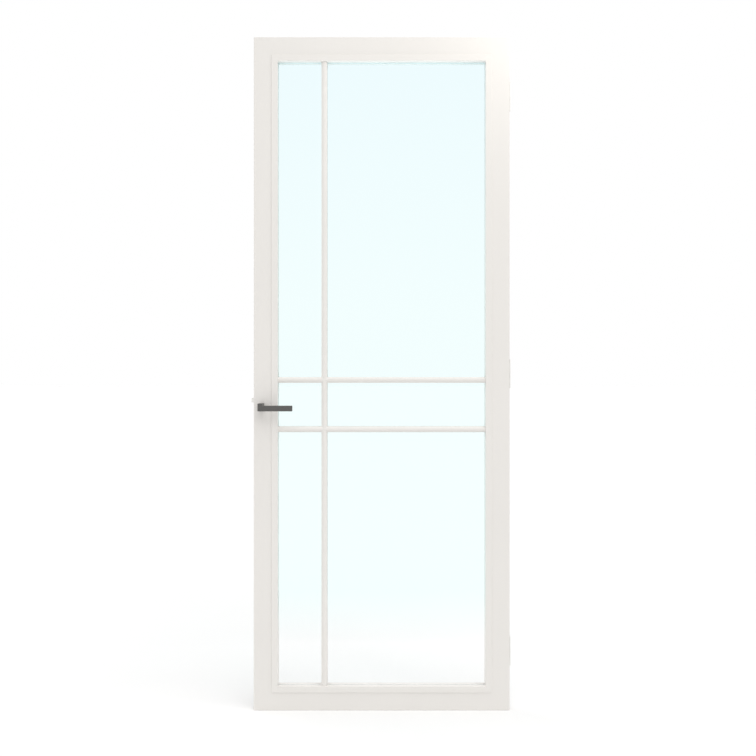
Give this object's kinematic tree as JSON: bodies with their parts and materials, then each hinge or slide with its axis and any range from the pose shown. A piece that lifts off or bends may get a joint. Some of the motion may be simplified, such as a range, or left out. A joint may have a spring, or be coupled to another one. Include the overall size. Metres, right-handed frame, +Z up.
{
  "type": "glass door",
  "caption": "Slim white interior door leaf with one tall clear pane, applied glazing bars on both faces, a lever latch and lift-off hinges; swings on its hinge side.",
  "frame": {"origin": "middle of the leaf's bottom edge, halfway through its thickness", "axes": "+X from the lock side to the hinge side, +Y from the front face to the back, +Z up"},
  "size_m": [0.8975, 0.14, 2.315],
  "materials": {
    "white_lacquer": "satin white lacquer",
    "clear_glass": "clear, polished",
    "glazing_seal": "matt white",
    "setting_block": "matt",
    "lock_steel": "brushed",
    "latch_nickel": "satin nickel plate",
    "lever_grey": "satin dark grey",
    "bush_plastic": "matt",
    "hinge_white": "white powder coat",
    "hinge_pin_steel": "ground"
  },
  "bodies": {
    "hinge_frame_side": {"hinge_frame_plate_bottom": "hinge_white", "hinge_frame_plate_middle": "hinge_white", "hinge_frame_plate_top": "hinge_white", "hinge_pin_bottom": "hinge_pin_steel", "hinge_pin_middle": "hinge_pin_steel", "hinge_pin_top": "hinge_pin_steel"},
    "leaf": {"lock_stile": "white_lacquer", "hinge_stile": "white_lacquer", "top_rail": "white_lacquer", "bottom_rail": "white_lacquer", "bead_left": "white_lacquer", "bead_right": "white_lacquer", "bead_top": "white_lacquer", "bead_bottom": "white_lacquer", "front_bar_upright": "white_lacquer", "front_bar_upper_left": "white_lacquer", "front_bar_upper_right": "white_lacquer", "front_bar_lower_left": "white_lacquer", "front_bar_lower_right": "white_lacquer", "back_bar_upright": "white_lacquer", "back_bar_upper_left": "white_lacquer", "back_bar_upper_right": "white_lacquer", "back_bar_lower_left": "white_lacquer", "back_bar_lower_right": "white_lacquer", "glass_pane": "clear_glass", "front_glazing_seal": "glazing_seal", "back_glazing_seal": "glazing_seal", "setting_block_left": "setting_block", "setting_block_right": "setting_block", "lock_forend": "lock_steel", "lock_case": "lock_steel", "lock_cover": "lock_steel", "front_lever_bush": "bush_plastic", "back_lever_bush": "bush_plastic", "hinge_door_plate_bottom": "hinge_white", "hinge_door_plate_middle": "hinge_white", "hinge_door_plate_top": "hinge_white"},
    "lever": {"front_lever": "lever_grey", "back_lever": "lever_grey", "spindle": "lock_steel", "follower": "lock_steel"},
    "latch": {"latch_bolt": "latch_nickel"}
  },
  "joints": [
    {"name": "swing", "type": "hinge", "parent": "hinge_frame_side", "child": "leaf", "pos_m": [0.441, 0.0265, 0], "axis": [0, 0, -1], "range_deg": [0, 170]},
    {"name": "lever_turn", "type": "hinge", "parent": "leaf", "child": "lever", "pos_m": [-0.412, 0, 1.043], "axis": [0, 1, 0], "range_deg": [0, 35], "stiffness_Nm_per_rad": 1.5, "springref_deg": -22.92},
    {"name": "latch_slide", "type": "slide", "parent": "leaf", "child": "latch", "axis": [1, 0, 0], "range_m": [0, 0.0105]}
  ],
  "couplings": [
    {"joint": "latch_slide", "follows": "lever_turn", "m_per_rad": 0.01718}
  ]
}
